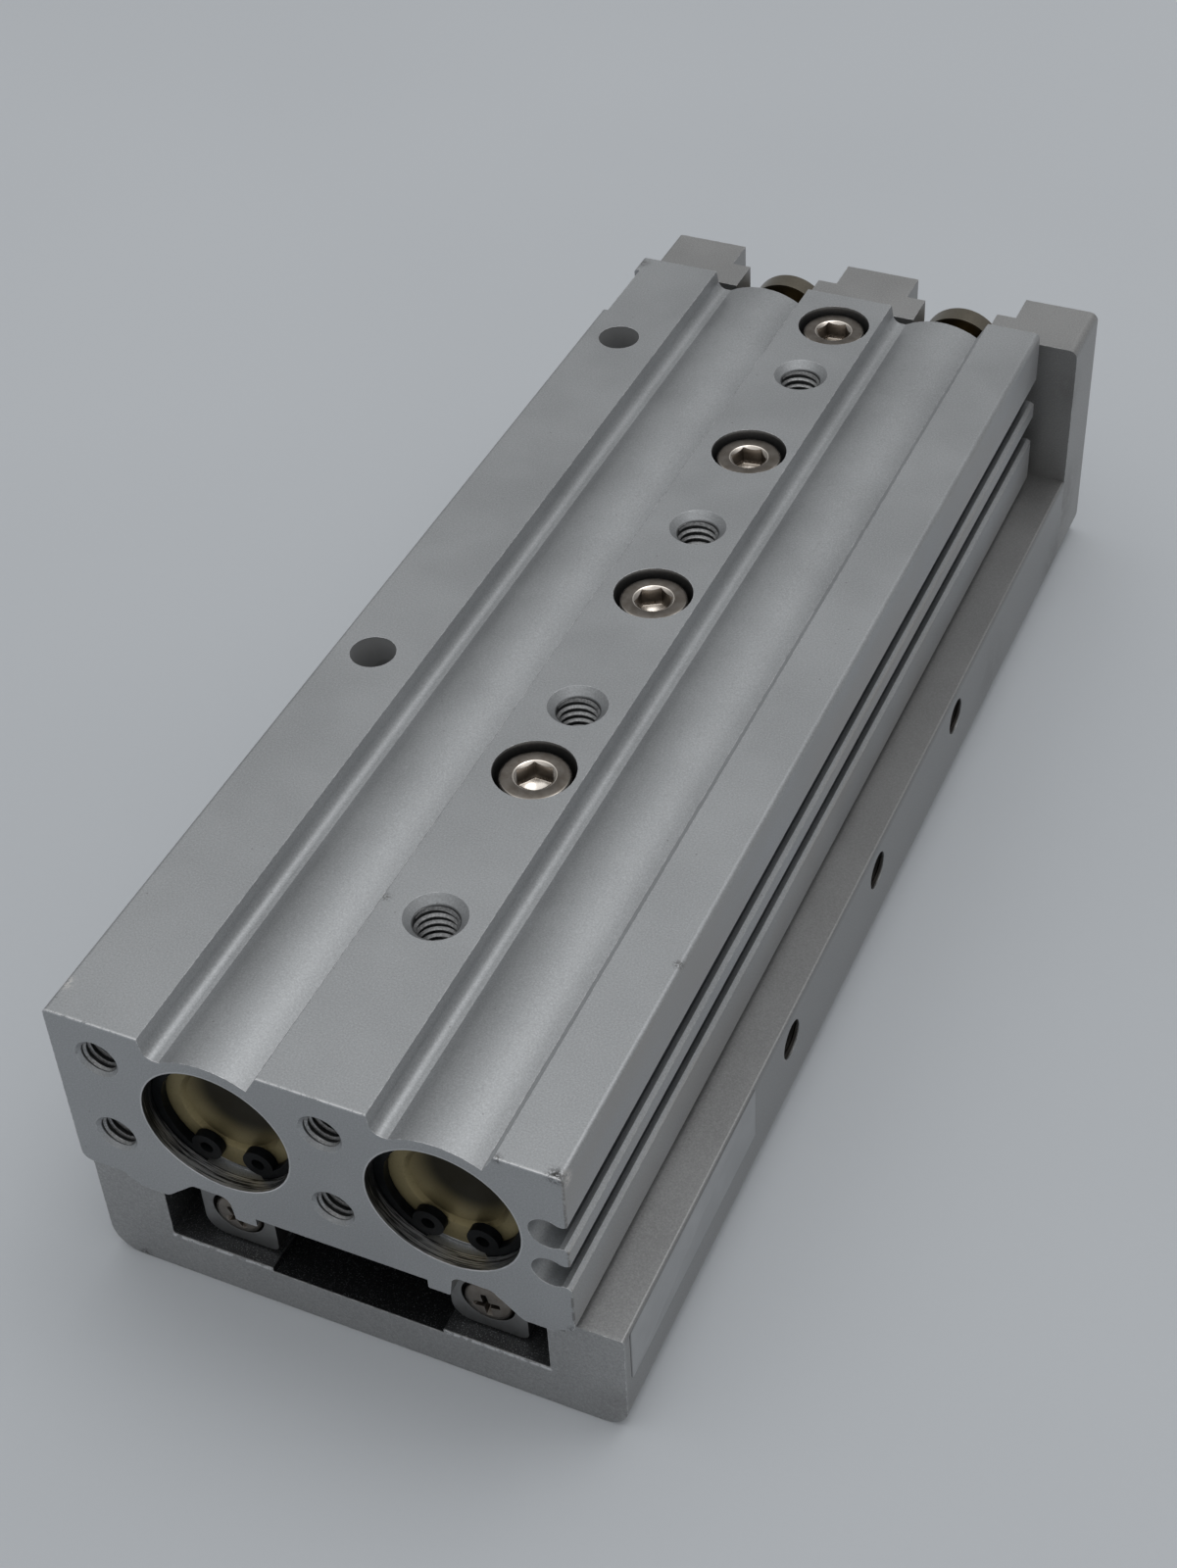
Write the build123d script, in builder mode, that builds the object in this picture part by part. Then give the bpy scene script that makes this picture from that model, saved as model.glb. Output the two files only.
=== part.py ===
"""Compact air-driven slide table: two cylinders in one extruded housing push a
table that runs on crossed rollers, shown lying on its table face.

X runs across the unit, Y along the stroke towards the end plate, and Z up from
the table's mounting face. Millimetres throughout.
"""
from build123d import *
import os
from math import cos, radians, sin

os.makedirs("parts", exist_ok=True)

# Overall arrangement
stroke = 75.0
table_width = 62.0
table_length = 154.5
table_setback = 1.3
end_plate_thickness = 10.2
end_plate_gap = 3.0
floor_thickness = 6.1
relief_depth = 0.6
rail_floor_gap = 0.6
rail_height = 10.15
rail_step = 0.4
housing_height = 23.75
housing_left = 31.0
housing_right = 26.4

# Cylinder bores and the domed skin over them
bore_radius = 8.0
bore_offset = 12.8
bore_depth_from_top = 11.2
bore_wall = 2.0
groove_outer_reach = 7.15
groove_outer_foot = 6.7
groove_outer_sweep = 1.3
groove_inner_reach = 6.4
groove_depth = 2.55
groove_floor_reach = 5.0

# Switch slots in the right side
slot_radius = 2.05
slot_inset = 2.2
slot_depths = (9.1, 15.15)
slot_throat = 1.7
slot_mouth = 2.0
slot_lip = 0.5

# Underside of the housing, measured out from the centre line
seat_half = 9.9
ridge_outer = 12.5
ridge_height = 1.25
channel_outer = 17.3
channel_rise = 2.0
lip_start = 19.8
lip_end = 23.8
lip_drop = 1.15
skirt_start = 26.0
skirt_rise = 0.35

# Fixings in the housing. Each rail screw is a share of the pitch beyond its tapped hole.
thread_core_m6 = 2.5
thread_rim_m6 = 3.5
thread_depth_m6 = 12.0
thread_first_inset = 26.2
thread_last_inset = 20.1
thread_count = 4
through_hole_radius = 2.72
through_hole_offset = 26.0
rail_screw_shares = (0.676, 0.611, 0.479, 0.358)
counterbore_radius = 4.75
counterbore_depth = 5.8
screw_clearance = 0.25
fit_clearance = 0.03

# Air ports and passages
port_radius = 2.1
port_rim = 2.5
port_depth = 12.0
port_corner_inset = 5.4
port_row_drop = 11.7
side_port_place = 144.0
side_port_depth = 7.0
side_port_thread = 5.0
spotface_radius = 5.55
spotface_depth = 0.85
passage_radius = 1.5
plug_setback = 0.3
plug_length = 2.5
rod_passage_place = 139.0
rod_passage_radius = 5.25

# Head end of each bore
mouth_radius = 8.5
ring_setback = 1.8
ring_thickness = 1.0
ring_groove_radius = 9.0
ring_slack = 0.1
ring_band = 1.5
ring_ear_radius = 1.75
ring_ear_reach = 6.45
ring_ear_angle = 28.0
ring_hole_radius = 0.75
ring_gap_angle = 25.0
ring_eccentricity = 0.25
cap_flange = 2.0
cap_body = 4.4
cap_clearance = 0.06
cap_dish_radius = 5.8
cap_dish_depth = 0.5
cap_groove_inset = 1.0
cap_groove_slack = 0.4
cap_pocket_depth = 1.0
o_ring_cord = 0.68
bumper_thickness = 3.0
bumper_hole_radius = 5.2
bumper_side_gap = 0.4
stop_gap = 0.3

# Pistons and rods
piston_length = 18.0
piston_clearance = 0.08
piston_chamfer = 0.8
piston_seal_inset = 4.0
piston_seal_width = 2.4
piston_seal_root = 5.9
seal_side_gap = 0.1
seal_crown = 0.5
magnet_inset = 3.0
magnet_width = 4.4
magnet_root = 5.4
magnet_recess = 0.5
rod_radius = 4.0
rod_tail_radius = 2.5
rod_stud_radius = 2.0
nut_height = 2.7
nut_flats = 8.0
rod_clearance = 0.06

# Rod seal support in the rod end face
support_radius = 6.0
support_length = 6.0
support_setback = 1.4
clip_groove_radius = 6.6
clip_setback = 0.4
clip_thickness = 0.8
rod_seal_width = 2.2
rod_seal_reach = 5.3
support_wall = 0.8
support_groove_width = 1.4
support_groove_depth = 1.02
support_cord = 0.49
rod_seal_slack = 0.05
rod_seal_lip = 0.3
rod_seal_lip_depth = 0.9
clip_gap = 3.0

# Crossed roller guide
rail_half = 9.4
way_gap = 1.0
way_height = 4.7
roller_size = 4.0
roller_end_gap = 0.1
roller_pitch = 7.0
cage_thickness = 0.5
cage_height = 7.2
pocket_height = 6.0
spacer_clearance = 0.35
pocket_clearance = 0.15
cage_end_clearance = 0.2
rail_start_inset = 42.0
rail_end_inset = 0.3
guide_width = 8.8
guide_height = 8.4
guide_end_inset = 40.8
stop_plate_setback = 2.0
stop_plate_thickness = 2.4
stop_plate_radii = (2.3, 0.9)
stop_plate_margin = 0.35
stop_screw_z = 11.0
stop_screw_grip = 9.0
thread_end_gap = 1.0
pan_head_radius = 2.75
pan_head_height = 1.7
pan_head_gap = 0.35
pan_recess = 1.5
guide_thread_depth = 6.4

# Table
cavity_half = 22.5
wall_top_outer = 15.1
wall_top_inner = 13.5
wall_ledge = 2.0
wall_slope = 1.0
relief_half = 10.2
corner_left = 3.5
corner_right = 3.0
preload_places = (48.3, 77.4, 107.6)
preload_radius = 2.4
preload_length = 8.0
preload_height = 10.8
preload_socket_flats = 2.5
preload_socket_depth = 2.5
table_thread_radius = 2.1
table_thread_depth = 5.0
table_thread_half_span = 19.0
table_thread_pitch = 38.0
table_thread_rows = 3
dowel_hole_radius = 2.0
dowel_hole_depth = 4.0
dowel_hole_pitch = 38.0
guide_screw_insets = (11.6, 17.7)
m3_radius = 1.5
m3_head_radius = 2.75
m3_head_height = 2.6
m3_recess_radius = 3.1
m3_recess_depth = 3.1
m3_grip = 8.5
m3_socket_flats = 2.5

# End plate
end_plate_drop = 3.6
end_plate_corner_left = 0.4
end_plate_corner_right = 1.2
web_thickness = 5.3
notch_offset = 13.0
notch_half = 5.15
notch_back_half = 7.8
bush_radius = 5.65
bush_thickness = 3.1
bush_neck_radius = 3.1
bush_collar_radius = 5.9
bush_collar_thickness = 1.6
bush_chamfer = 0.3
bush_float = 0.1
stud_recess = 0.8
plate_thread_half_span = 18.0
plate_thread_heights = (9.0, 18.0)
m4_radius = 2.0
m4_head_radius = 3.5
m4_head_height = 4.0
m4_recess_radius = 3.9
m4_recess_depth = 4.6
m4_grip = 14.0
m4_thread_spare = 2.0
m4_socket_flats = 3.0
plate_screw_offset = 26.2
plate_screw_height = 8.0
plate_dowel_radius = 1.5
plate_dowel_offset = 6.0
plate_dowel_length = 12.0
dowel_end_gap = 0.5

# Cap screws of the rail
m5_radius = 2.5
m5_head_radius = 4.1
m5_head_height = 5.0
m5_head_chamfer = 0.3
m5_socket_flats = 4.0
m5_socket_depth = 2.5
m5_grip = 26.0

# Heights
relief_z = floor_thickness - relief_depth
rail_z = relief_z + rail_floor_gap
base_z = rail_z + rail_height
top_z = base_z + housing_height
bore_z = top_z - bore_depth_from_top
way_z = rail_z + way_height
plate_top_z = top_z - end_plate_drop

# Places along the stroke
overall_length = table_setback + table_length + end_plate_thickness
head_y = -overall_length / 2
table_y = head_y + table_setback
plate_y = table_y + table_length
plate_back_y = plate_y + end_plate_thickness
rod_y = plate_y - end_plate_gap
housing_length = rod_y - head_y
thread_pitch = (housing_length - thread_first_inset - thread_last_inset) / (thread_count - 1)
thread_ys = [head_y + thread_first_inset + thread_pitch * i for i in range(thread_count)]
rail_screw_ys = [y + thread_pitch * share for y, share in zip(thread_ys, rail_screw_shares)]
ring_y = head_y + ring_setback
cap_y = ring_y + ring_thickness + 2 * ring_slack
cap_end_y = cap_y + cap_flange + cap_body
piston_y = cap_end_y + bumper_thickness + stop_gap
piston_front_y = piston_y + piston_length
bore_end_y = piston_front_y + stroke + stop_gap + bumper_thickness
support_y = rod_y - support_setback - support_length
rail_y = head_y + rail_start_inset
rail_end_y = rod_y - rail_end_inset
rail_length = rail_end_y - rail_y
guide_y = table_y + stop_plate_setback + stop_plate_thickness
guide_end_y = plate_y - guide_end_inset
guide_length = guide_end_y - guide_y
guide_screw_start = guide_y + guide_screw_insets[0]
guide_screw_end = guide_end_y - guide_screw_insets[1]
guide_screw_ys = (guide_screw_start, (guide_screw_start + guide_screw_end) / 2, guide_screw_end)
cage_y = max(rail_y, guide_y + stroke / 2) + cage_end_clearance
cage_end_y = min(guide_end_y, rail_end_y - stroke / 2) - cage_end_clearance
head_passage_y = cap_end_y + bumper_thickness / 2
port_heights = (top_z - port_corner_inset, top_z - port_corner_inset - port_row_drop)
passage_points = [(head_passage_y, z) for z in port_heights] + [(head_y + rod_passage_place, bore_z)]

# Places across the unit
bores = {"left": -bore_offset, "right": bore_offset}
sides = {"left": -1, "right": 1}
wall_step_inner = cavity_half + wall_ledge
wall_step_outer = wall_step_inner + wall_slope
way_x = rail_half + way_gap / 2
guide_x = rail_half + way_gap + guide_width / 2
spacer_size = roller_size - 2 * spacer_clearance


def across(y):
    """Plane across the unit at y, drawn in X and Z, with runs towards the head end."""
    return Plane(origin=(0, y, 0), x_dir=(1, 0, 0), z_dir=(0, -1, 0))


def beside(x):
    """Plane along the unit at x, drawn in Y and Z, with runs towards the right."""
    return Plane(origin=(x, 0, 0), x_dir=(0, 1, 0), z_dir=(1, 0, 0))


def turning(x):
    """Plane through the bore axis at x, drawn in Y and distance above the axis."""
    return Plane(origin=(x, 0, bore_z), x_dir=(0, 1, 0), z_dir=(1, 0, 0))


def bore_axis(x):
    """Centre line of the bore at x."""
    return Axis((x, 0, bore_z), (0, 1, 0))


def rounded(*corners):
    """Closed outline through corners given as across, up and corner radius."""
    points = [(a, b) for a, b, r in corners]
    return FilletPolyline(*points, radius=[r for a, b, r in corners], close=True)


def finish(part, name):
    """Label a finished piece and write it out."""
    part.label = name
    export_step(part, f"parts/{name}.step")


# Housing: one extrusion with two bores, domed skins, switch slots and a rail seat
with BuildPart() as cylinder_body:
    with BuildSketch(across(rod_y)):
        with BuildLine():
            rounded(
                (-housing_left, base_z + skirt_rise, 1.2),
                (-housing_left, top_z, 0.5),
                (housing_right, top_z, 0.7),
                (housing_right, base_z, 1.1),
                (lip_end + 1.0, base_z - lip_drop / 2, 0.5),
                (lip_end, base_z - lip_drop, 0.4),
                (lip_start + 0.9, base_z - lip_drop, 0.9),
                (channel_outer, base_z + channel_rise, 1.0),
                (ridge_outer + 0.4, base_z + channel_rise, 1.2),
                (ridge_outer, base_z - ridge_height, 0.3),
                (seat_half + 0.1, base_z - ridge_height, 0.2),
                (seat_half + 0.1, base_z, 0),
                (-seat_half - 0.1, base_z, 0),
                (-seat_half - 0.1, base_z - ridge_height, 0.2),
                (-ridge_outer, base_z - ridge_height, 0.3),
                (-ridge_outer - 0.4, base_z + channel_rise, 1.2),
                (-channel_outer, base_z + channel_rise, 1.0),
                (-lip_start - 0.9, base_z - lip_drop, 0.9),
                (-lip_end, base_z - lip_drop, 0.4),
                (-lip_end - 1.0, base_z - lip_drop / 2, 0.5),
                (-skirt_start, base_z + skirt_rise, 0),
            )
        make_face()
    extrude(amount=housing_length)
    # grooves beside each dome, leaving a skin of even thickness over the bore
    with BuildSketch(across(rod_y)):
        for x in bores.values():
            with BuildLine():
                rounded(
                    (x - groove_outer_reach, top_z + 1, 0),
                    (x - groove_outer_reach, top_z, 0),
                    (x - groove_outer_foot, top_z - groove_depth, groove_outer_sweep),
                    (x + groove_floor_reach, top_z - groove_depth, 0.3),
                    (x + groove_inner_reach, top_z, 0),
                    (x + groove_inner_reach, top_z + 1, 0),
                )
            make_face()
        with Locations(*[(x, bore_z) for x in bores.values()]):
            Circle(bore_radius + bore_wall, mode=Mode.SUBTRACT)
    extrude(amount=housing_length, mode=Mode.SUBTRACT)
    # switch slots
    with BuildSketch(across(rod_y)):
        for depth in slot_depths:
            z = top_z - depth
            with BuildLine():
                Polyline(
                    (housing_right + 1, z + slot_mouth),
                    (housing_right, z + slot_mouth),
                    (housing_right - slot_lip, z + slot_throat),
                    (housing_right - slot_inset, z + slot_throat),
                    (housing_right - slot_inset, z - slot_throat),
                    (housing_right - slot_lip, z - slot_throat),
                    (housing_right, z - slot_mouth),
                    (housing_right + 1, z - slot_mouth),
                    close=True,
                )
            make_face()
            with Locations((housing_right - slot_inset, z)):
                Circle(slot_radius)
    extrude(amount=housing_length, mode=Mode.SUBTRACT)
    # bores, each turned with its mouth, ring groove, rod passage and seal pocket
    for x in bores.values():
        with BuildSketch(turning(x)):
            with BuildLine():
                Polyline(
                    (head_y - 1, 0),
                    (head_y - 1, mouth_radius),
                    (ring_y, mouth_radius),
                    (ring_y, ring_groove_radius),
                    (cap_y, ring_groove_radius),
                    (cap_y, mouth_radius),
                    (cap_y + cap_flange, mouth_radius),
                    (cap_y + cap_flange, bore_radius),
                    (bore_end_y, bore_radius),
                    (bore_end_y, rod_passage_radius),
                    (support_y, rod_passage_radius),
                    (support_y, support_radius),
                    (rod_y - clip_setback - clip_thickness - ring_slack, support_radius),
                    (rod_y - clip_setback - clip_thickness - ring_slack, clip_groove_radius),
                    (rod_y - clip_setback, clip_groove_radius),
                    (rod_y - clip_setback, support_radius),
                    (rod_y + 1, support_radius),
                    (rod_y + 1, 0),
                    close=True,
                )
            make_face()
        revolve(axis=bore_axis(x), mode=Mode.SUBTRACT)
    # tapped holes and counterbored holes down the middle land
    with Locations(*[(0, y, top_z) for y in thread_ys]):
        CounterSinkHole(thread_core_m6, thread_rim_m6, depth=thread_depth_m6, counter_sink_angle=90)
    with Locations(*[(0, y, top_z) for y in rail_screw_ys]):
        CounterBoreHole(m5_radius + screw_clearance, counterbore_radius, counterbore_depth)
    # two plain holes through the left land
    with Locations(*[(-through_hole_offset, y, top_z) for y in thread_ys[1::2]]):
        Hole(through_hole_radius)
    # air ports in the head end face, and the drillings that join them to the bores
    for x in (port_corner_inset - housing_left, 0):
        with Locations(*[Location((x, head_y, z), (90, 0, 0)) for z in port_heights]):
            CounterSinkHole(port_radius, port_rim, depth=port_depth, counter_sink_angle=90)
    with BuildSketch(beside(-housing_left)):
        with Locations(*passage_points):
            Circle(passage_radius)
    extrude(amount=housing_left + bore_offset, mode=Mode.SUBTRACT)
    # side port for the rod chambers, with its milled seat open to the top edge
    side_port_y = head_y + side_port_place
    side_port_z = top_z - side_port_depth
    with BuildSketch(beside(-housing_left)):
        with Locations((side_port_y, side_port_z)):
            Circle(spotface_radius)
        with Locations((side_port_y, side_port_z + side_port_depth)):
            Rectangle(2 * spotface_radius, 2 * side_port_depth)
    extrude(amount=spotface_depth, mode=Mode.SUBTRACT)
    with BuildSketch(beside(-housing_left)):
        with Locations((side_port_y, side_port_z)):
            Circle(port_radius)
    extrude(amount=spotface_depth + side_port_thread, mode=Mode.SUBTRACT)
    with BuildSketch(beside(-housing_left)):
        with Locations((side_port_y, side_port_z)):
            Circle(passage_radius)
    extrude(amount=housing_left - bore_offset, mode=Mode.SUBTRACT)
finish(cylinder_body.part, "cylinder_body")

# Plugs pressed into the outer ends of the cross drillings
with BuildPart() as passage_plugs:
    with BuildSketch(beside(-housing_left + plug_setback)):
        with Locations(*passage_points):
            Circle(passage_radius - fit_clearance)
    extrude(amount=plug_length)
finish(passage_plugs.part, "passage_plugs")

# Hardened rail under the housing, with a vee way in each side
with BuildPart() as guide_rail:
    with BuildSketch(across(rail_end_y)):
        with BuildLine():
            rounded(
                (-rail_half, rail_z, 0.4),
                (-rail_half, base_z - ridge_height - rail_step, 0),
                (-seat_half, base_z - ridge_height, 0),
                (-seat_half, base_z, 0),
                (seat_half, base_z, 0),
                (seat_half, base_z - ridge_height, 0),
                (rail_half, base_z - ridge_height - rail_step, 0),
                (rail_half, rail_z, 0.4),
            )
        make_face()
        with Locations(*[(side * way_x, way_z) for side in sides.values()]):
            Rectangle(roller_size, roller_size, rotation=45, mode=Mode.SUBTRACT)
    extrude(amount=rail_length)
    with Locations(*[(0, y, base_z) for y in rail_screw_ys]):
        Hole(m5_radius + fit_clearance)
finish(guide_rail.part, "guide_rail")


# Cap screws that hang the rail under the housing
with BuildPart() as rail_screws:
    seat_z = top_z - counterbore_depth
    with Locations(*[(0, y, seat_z) for y in rail_screw_ys]):
        Cylinder(m5_head_radius, m5_head_height, align=(Align.CENTER, Align.CENTER, Align.MIN))
        Cylinder(m5_radius, m5_grip, align=(Align.CENTER, Align.CENTER, Align.MAX))
    chamfer(rail_screws.edges().group_by(Axis.Z)[-1], m5_head_chamfer)
    with BuildSketch(Plane.XY.offset(seat_z + m5_head_height)):
        with Locations(*[(0, y) for y in rail_screw_ys]):
            RegularPolygon(m5_socket_flats / 2, 6, major_radius=False)
    extrude(amount=-m5_socket_depth, mode=Mode.SUBTRACT)
finish(rail_screws.part, "rail_screws")

# Turned pieces in each bore, the same on both sides
for side, x in bores.items():
    # head cap with its dished face and ring groove
    with BuildPart() as head_cap:
        cap_radius = bore_radius - cap_clearance
        groove_root = cap_radius - 2 * o_ring_cord
        groove_start = cap_y + cap_flange + cap_groove_inset
        groove_end = groove_start + 2 * o_ring_cord + cap_groove_slack
        with BuildSketch(turning(x)):
            with BuildLine():
                Polyline(
                    (cap_y + cap_dish_depth, 0),
                    (cap_y + cap_dish_depth, cap_dish_radius - cap_dish_depth),
                    (cap_y, cap_dish_radius),
                    (cap_y, mouth_radius - cap_clearance),
                    (cap_y + cap_flange, mouth_radius - cap_clearance),
                    (cap_y + cap_flange, cap_radius),
                    (groove_start, cap_radius),
                    (groove_start, groove_root),
                    (groove_end, groove_root),
                    (groove_end, cap_radius),
                    (cap_end_y, cap_radius),
                    (cap_end_y, bumper_hole_radius),
                    (cap_end_y - cap_pocket_depth, bumper_hole_radius),
                    (cap_end_y - cap_pocket_depth, 0),
                    close=True,
                )
            make_face()
        revolve(axis=bore_axis(x))
    finish(head_cap.part, f"head_cap_{side}")

    with BuildPart() as cap_o_ring:
        with BuildSketch(turning(x)):
            with Locations(((groove_start + groove_end) / 2, groove_root + o_ring_cord)):
                Circle(o_ring_cord)
        revolve(axis=bore_axis(x))
    finish(cap_o_ring.part, f"cap_o_ring_{side}")

    # black retaining ring, thicker opposite its two eyes
    with BuildPart() as retaining_ring:
        ring_outer = ring_groove_radius - ring_slack
        with BuildSketch(across(ring_y + ring_slack)):
            with Locations((x, bore_z)):
                Circle(ring_outer)
            with Locations((x, bore_z - ring_eccentricity)):
                Circle(ring_outer - ring_band, mode=Mode.SUBTRACT)
            with BuildLine():
                Polyline(
                    (x, bore_z),
                    (x - 2 * ring_outer * sin(radians(ring_gap_angle)), bore_z - 2 * ring_outer),
                    (x + 2 * ring_outer * sin(radians(ring_gap_angle)), bore_z - 2 * ring_outer),
                    close=True,
                )
            make_face(mode=Mode.SUBTRACT)
            eyes = [
                (
                    x + turn * ring_ear_reach * sin(radians(ring_ear_angle)),
                    bore_z - ring_ear_reach * cos(radians(ring_ear_angle)),
                )
                for turn in (-1, 1)
            ]
            with Locations(*eyes):
                Circle(ring_ear_radius)
                Circle(ring_hole_radius, mode=Mode.SUBTRACT)
        extrude(amount=-ring_thickness)
    finish(retaining_ring.part, f"retaining_ring_{side}")

    # soft stops at both ends of the bore
    for name, start in (("head_bumper", cap_end_y), ("rod_bumper", bore_end_y - bumper_thickness)):
        with BuildPart() as bumper:
            with BuildSketch(across(start + bumper_thickness)):
                with Locations((x, bore_z)):
                    Circle(bore_radius - bumper_side_gap)
                    Circle(bumper_hole_radius, mode=Mode.SUBTRACT)
            extrude(amount=bumper_thickness)
        finish(bumper.part, f"{name}_{side}")

    # piston with a seal groove and a magnet recess
    with BuildPart() as piston:
        piston_radius = bore_radius - piston_clearance
        seal_y = piston_y + piston_seal_inset
        magnet_y = piston_front_y - magnet_inset - magnet_width
        with BuildSketch(turning(x)):
            with BuildLine():
                Polyline(
                    (piston_y, rod_tail_radius + fit_clearance),
                    (piston_y, piston_radius - piston_chamfer),
                    (piston_y + piston_chamfer, piston_radius),
                    (seal_y, piston_radius),
                    (seal_y, piston_seal_root),
                    (seal_y + piston_seal_width, piston_seal_root),
                    (seal_y + piston_seal_width, piston_radius),
                    (magnet_y, piston_radius),
                    (magnet_y, magnet_root),
                    (magnet_y + magnet_width, magnet_root),
                    (magnet_y + magnet_width, piston_radius),
                    (piston_front_y - piston_chamfer, piston_radius),
                    (piston_front_y, piston_radius - piston_chamfer),
                    (piston_front_y, rod_tail_radius + fit_clearance),
                    close=True,
                )
            make_face()
        revolve(axis=bore_axis(x))
    finish(piston.part, f"piston_{side}")

    # piston seal, crowned where it runs on the bore
    with BuildPart() as piston_seal:
        seal_root = piston_seal_root + fit_clearance
        seal_start = seal_y + seal_side_gap
        seal_end = seal_y + piston_seal_width - seal_side_gap
        with BuildSketch(turning(x)):
            with BuildLine():
                Polyline(
                    (seal_start, seal_root),
                    (seal_start, piston_radius - seal_crown),
                    (seal_start + seal_crown, piston_radius),
                    (seal_end - seal_crown, piston_radius),
                    (seal_end, piston_radius - seal_crown),
                    (seal_end, seal_root),
                    close=True,
                )
            make_face()
        revolve(axis=bore_axis(x))
    finish(piston_seal.part, f"piston_seal_{side}")

    with BuildPart() as magnet:
        with BuildSketch(across(magnet_y + magnet_width - seal_side_gap)):
            with Locations((x, bore_z)):
                Circle(piston_radius - magnet_recess)
                Circle(magnet_root + fit_clearance, mode=Mode.SUBTRACT)
        extrude(amount=magnet_width - 2 * seal_side_gap)
    finish(magnet.part, f"piston_magnet_{side}")

    # nut on the tail of the rod, inside the hole of the head bumper
    with BuildPart() as piston_nut:
        with BuildSketch(across(piston_y)):
            with Locations((x, bore_z)):
                RegularPolygon(nut_flats / 2, 6, major_radius=False)
                Circle(rod_tail_radius + fit_clearance, mode=Mode.SUBTRACT)
        extrude(amount=nut_height)
    finish(piston_nut.part, f"piston_nut_{side}")

    # piston rod: tail through the piston, stud at the other end for the bush
    collar_y = plate_y - bush_float - bush_collar_thickness
    neck_end_y = plate_y + web_thickness + bush_float
    bush_end_y = neck_end_y + bush_thickness
    with BuildPart() as piston_rod:
        with BuildSketch(turning(x)):
            with BuildLine():
                Polyline(
                    (piston_y - nut_height, 0),
                    (piston_y - nut_height, rod_tail_radius),
                    (piston_front_y, rod_tail_radius),
                    (piston_front_y, rod_radius),
                    (collar_y, rod_radius),
                    (collar_y, rod_stud_radius),
                    (bush_end_y - stud_recess, rod_stud_radius),
                    (bush_end_y - stud_recess, 0),
                    close=True,
                )
            make_face()
        revolve(axis=bore_axis(x))
    finish(piston_rod.part, f"piston_rod_{side}")

    # spool-shaped bush that holds the end plate's web between its two flanges
    with BuildPart() as floating_bush:
        with BuildSketch(turning(x)):
            with BuildLine():
                Polyline(
                    (collar_y, rod_stud_radius + fit_clearance),
                    (collar_y, bush_collar_radius - bush_chamfer),
                    (collar_y + bush_chamfer, bush_collar_radius),
                    (plate_y - bush_float, bush_collar_radius),
                    (plate_y - bush_float, bush_neck_radius),
                    (neck_end_y, bush_neck_radius),
                    (neck_end_y, bush_radius),
                    (bush_end_y - bush_chamfer, bush_radius),
                    (bush_end_y, bush_radius - bush_chamfer),
                    (bush_end_y, rod_stud_radius + fit_clearance),
                    close=True,
                )
            make_face()
        revolve(axis=bore_axis(x))
    finish(floating_bush.part, f"floating_bush_{side}")

    # brass support for the rod seal, held in the rod end by a clip
    with BuildPart() as seal_support:
        body_radius = support_radius - cap_clearance
        support_end_y = support_y + support_length
        ring_root = body_radius - support_groove_depth
        ring_start = support_y + support_wall
        ring_end = ring_start + support_groove_width
        rod_seal_y = support_end_y - support_wall - rod_seal_width
        with BuildSketch(turning(x)):
            with BuildLine():
                Polyline(
                    (support_y, rod_radius + rod_clearance),
                    (support_y, body_radius),
                    (ring_start, body_radius),
                    (ring_start, ring_root),
                    (ring_end, ring_root),
                    (ring_end, body_radius),
                    (support_end_y, body_radius),
                    (support_end_y, rod_radius + rod_clearance),
                    (rod_seal_y + rod_seal_width, rod_radius + rod_clearance),
                    (rod_seal_y + rod_seal_width, rod_seal_reach),
                    (rod_seal_y, rod_seal_reach),
                    (rod_seal_y, rod_radius + rod_clearance),
                    close=True,
                )
            make_face()
        revolve(axis=bore_axis(x))
    finish(seal_support.part, f"rod_seal_support_{side}")

    with BuildPart() as support_o_ring:
        with BuildSketch(turning(x)):
            with Locations(((ring_start + ring_end) / 2, ring_root + support_groove_depth / 2)):
                Circle(support_cord)
        revolve(axis=bore_axis(x))
    finish(support_o_ring.part, f"support_o_ring_{side}")

    # rod seal with its lips towards the pressure
    with BuildPart() as rod_seal:
        lip_y = rod_seal_y + seal_side_gap
        back_y = rod_seal_y + rod_seal_width - seal_side_gap
        with BuildSketch(turning(x)):
            with BuildLine():
                Polyline(
                    (lip_y, rod_radius + rod_clearance),
                    (lip_y, rod_radius + rod_clearance + rod_seal_lip),
                    (lip_y + rod_seal_lip_depth, (rod_radius + rod_seal_reach) / 2),
                    (lip_y, rod_seal_reach - rod_seal_slack - rod_seal_lip),
                    (lip_y, rod_seal_reach - rod_seal_slack),
                    (back_y, rod_seal_reach - rod_seal_slack),
                    (back_y, rod_radius + rod_clearance),
                    close=True,
                )
            make_face()
        revolve(axis=bore_axis(x))
    finish(rod_seal.part, f"rod_seal_{side}")

    # open clip in front of the seal support
    with BuildPart() as rod_clip:
        with BuildSketch(across(rod_y - clip_setback - ring_slack / 2)):
            with Locations((x, bore_z)):
                Circle(clip_groove_radius - ring_slack)
                Circle(rod_seal_reach, mode=Mode.SUBTRACT)
            with Locations((x, bore_z - clip_groove_radius)):
                Rectangle(clip_gap, clip_gap, mode=Mode.SUBTRACT)
        extrude(amount=clip_thickness)
    finish(rod_clip.part, f"rod_clip_{side}")

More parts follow.
